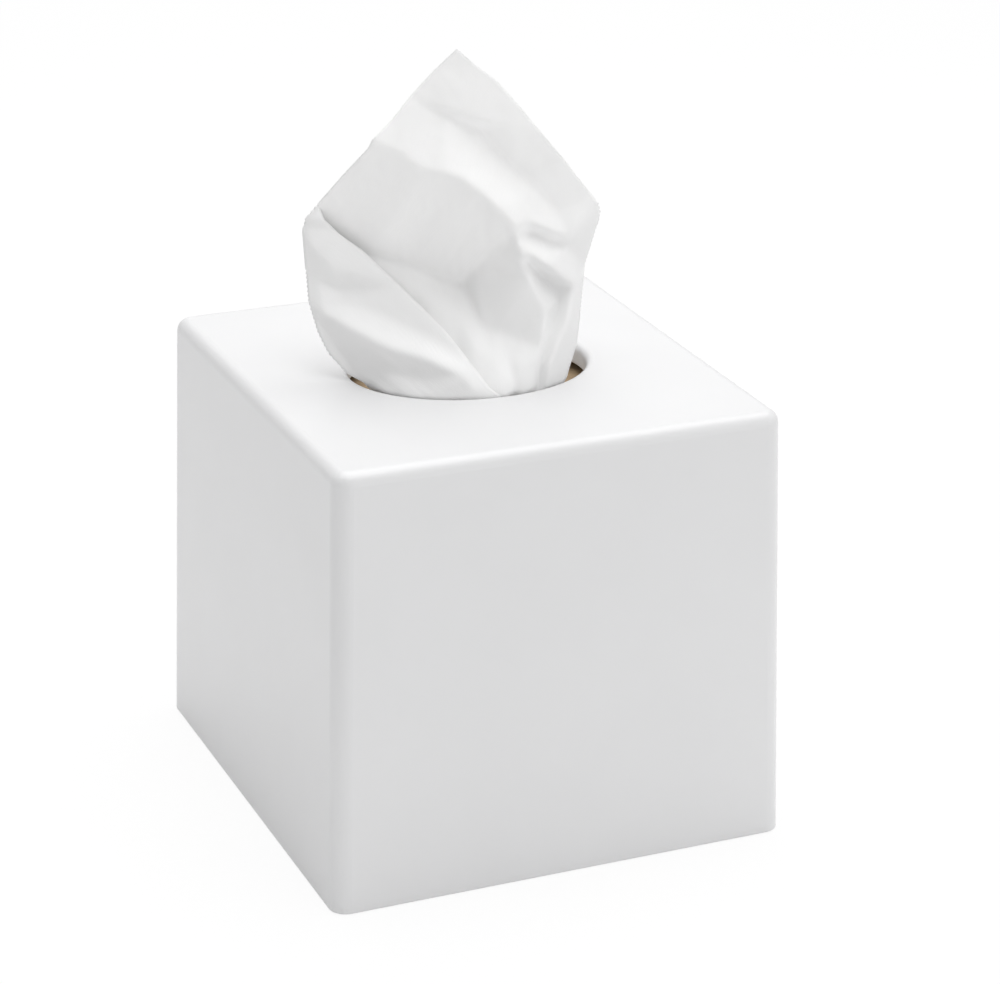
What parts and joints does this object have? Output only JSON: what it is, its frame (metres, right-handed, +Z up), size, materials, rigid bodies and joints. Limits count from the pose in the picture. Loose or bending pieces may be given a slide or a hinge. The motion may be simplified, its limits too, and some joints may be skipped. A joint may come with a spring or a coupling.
{
  "type": "tissue box",
  "caption": "Open-bottomed tissue box cover with an oval hole on top, standing over a cube refill carton, with one tissue pulled up.",
  "frame": {"origin": "centre of the cover's base, on the surface that the box stands on", "axes": "+Z up, out of the hole; +Y towards the back, along the longer side; +X to the right"},
  "size_m": [0.143, 0.1524, 0.232],
  "materials": {
    "white_resin": "smooth satin gloss, moulded in white",
    "brown_board": "uncoated brown carton board",
    "folded_tissue": "soft matt tissue, seen as a stack of folds",
    "tissue_paper": "two-ply creped tissue, matt and translucent"
  },
  "bodies": {
    "root": {"cover": "white_resin", "refill_carton": "brown_board", "tissue_stack": "folded_tissue", "tissue": "tissue_paper"}
  },
  "joints": []
}
